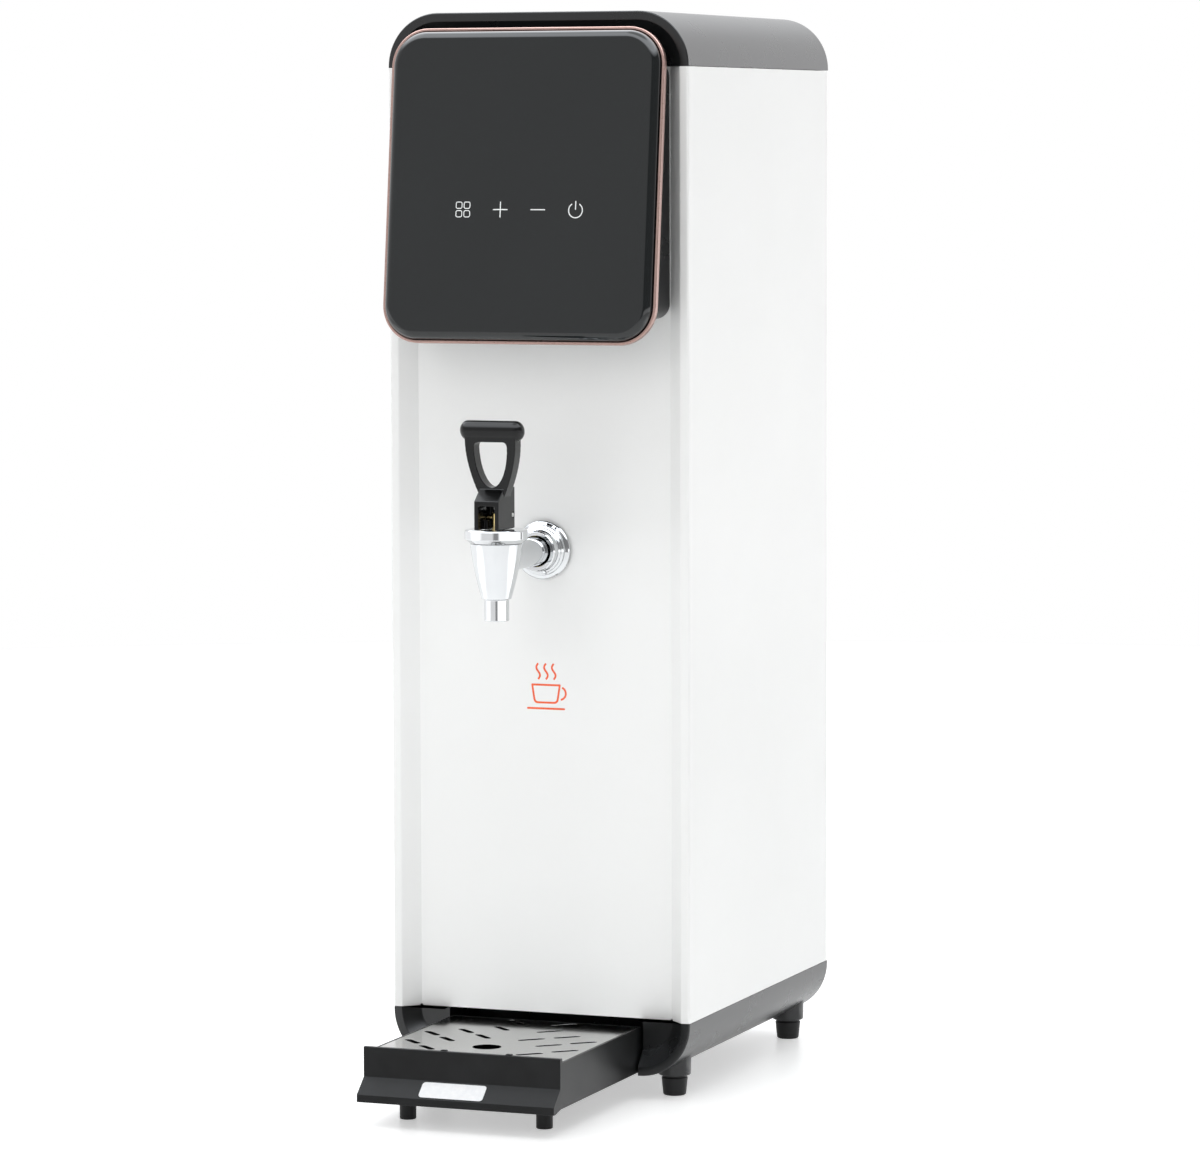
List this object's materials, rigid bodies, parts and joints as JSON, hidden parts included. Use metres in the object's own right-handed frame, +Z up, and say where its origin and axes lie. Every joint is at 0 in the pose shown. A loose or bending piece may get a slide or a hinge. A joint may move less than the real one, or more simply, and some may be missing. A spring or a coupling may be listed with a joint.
{
  "type": "countertop water dispenser",
  "caption": "Tall plumbed-in countertop water boiler with a tilted touch panel, a lever tap and a removable drip tray.",
  "frame": {"origin": "on the ground, at the middle of the bounding box's bottom", "axes": "+Z up, the front with the tap faces -Y, +X to the right of someone who faces the front"},
  "size_m": [0.21, 0.451, 0.711],
  "materials": {
    "white_powder_coat": "satin warm-white powder coat with a very fine orange peel",
    "black_moulding": "satin black moulded plastic",
    "black_rubber": "matt black rubber",
    "black_glass": "polished, back-painted black glass with a rounded edge",
    "rose_gold": "anodised rose-gold aluminium, satin",
    "chrome": "polished chrome plate",
    "brushed_steel": "fine-brushed stainless steel",
    "zinc_plate": "bright zinc-plated sheet steel",
    "brass": "machined brass",
    "silicone": "translucent milky silicone",
    "grey_foam": "open grey insulation foam",
    "circuit_board": "green solder mask",
    "white_plastic": "white nylon",
    "copper_winding": "enamelled copper winding"
  },
  "bodies": {
    "dispenser": {"outer_casing": "white_powder_coat", "rear_panel": "white_powder_coat", "top_cover": "black_moulding", "base_shell": "black_moulding", "panel_housing": "black_moulding", "panel_carrier": "black_moulding", "relay": "black_moulding", "drain_cap": "black_moulding", "cable_gland": "black_moulding", "gland_nut": "black_moulding", "foot_front_left": "black_rubber", "foot_front_right": "black_rubber", "foot_rear_left": "black_rubber", "foot_rear_right": "black_rubber", "tap_washer": "black_rubber", "panel_glass": "black_glass", "panel_trim": "rose_gold", "tap_flange": "chrome", "tap_body": "chrome", "tap_bonnet": "chrome", "valve_spring": "brushed_steel", "handle_pin": "brushed_steel", "boiler_tank": "brushed_steel", "tank_lid": "brushed_steel", "level_probe_high": "brushed_steel", "level_probe_low": "brushed_steel", "temperature_sensor": "brushed_steel", "heating_element": "brushed_steel", "chassis_plate": "zinc_plate", "tank_stand": "zinc_plate", "board_bracket": "zinc_plate", "transformer": "zinc_plate", "heat_sink": "zinc_plate", "tap_nut": "brass", "drain_fitting": "brass", "tap_sleeve": "silicone", "lid_gasket": "silicone", "inlet_hose": "silicone", "drain_hose": "silicone", "vent_pipe": "silicone", "insulation_jacket": "grey_foam", "touch_board": "circuit_board", "power_board": "circuit_board", "overheat_thermostat": "white_plastic", "inlet_valve": "white_plastic", "overflow_fitting": "white_plastic", "terminal_block": "white_plastic", "signal_cable": "white_plastic", "valve_coil": "copper_winding"},
    "tap_handle": {"tap_handle": "black_moulding"},
    "tap_valve": {"valve_stem": "brass", "seat_plug": "silicone"},
    "tray": {"drip_tray": "black_moulding", "tray_label": "white_plastic", "tray_foot_left": "black_rubber", "tray_foot_right": "black_rubber"},
    "grille": {"drip_grille": "brushed_steel"},
    "plunger": {"valve_plunger": "brushed_steel"}
  },
  "joints": [
    {"name": "handle_tilt", "type": "hinge", "parent": "dispenser", "child": "tap_handle", "pos_m": [0, -0.143, 0.388], "axis": [-1, 0, 0], "range_deg": [0, 28], "stiffness_Nm_per_rad": 0.12, "springref_deg": -14.32},
    {"name": "valve_lift", "type": "slide", "parent": "dispenser", "child": "tap_valve", "axis": [0, 0, 1], "range_m": [0, 0.0052], "deforming": ["valve_spring"]},
    {"name": "tray_slide", "type": "slide", "parent": "dispenser", "child": "tray", "axis": [0, -1, 0], "range_m": [0, 0.12]},
    {"name": "grille_lift", "type": "slide", "parent": "tray", "child": "grille", "axis": [0, 0, 1], "range_m": [0, 0.05]},
    {"name": "inlet_valve_lift", "type": "slide", "parent": "dispenser", "child": "plunger", "axis": [0, 0, 1], "range_m": [0, 0.003], "stiffness_N_per_m": 200, "springref_m": -0.002}
  ],
  "couplings": [
    {"joint": "valve_lift", "follows": "handle_tilt", "m_per_rad": 0.0103}
  ]
}
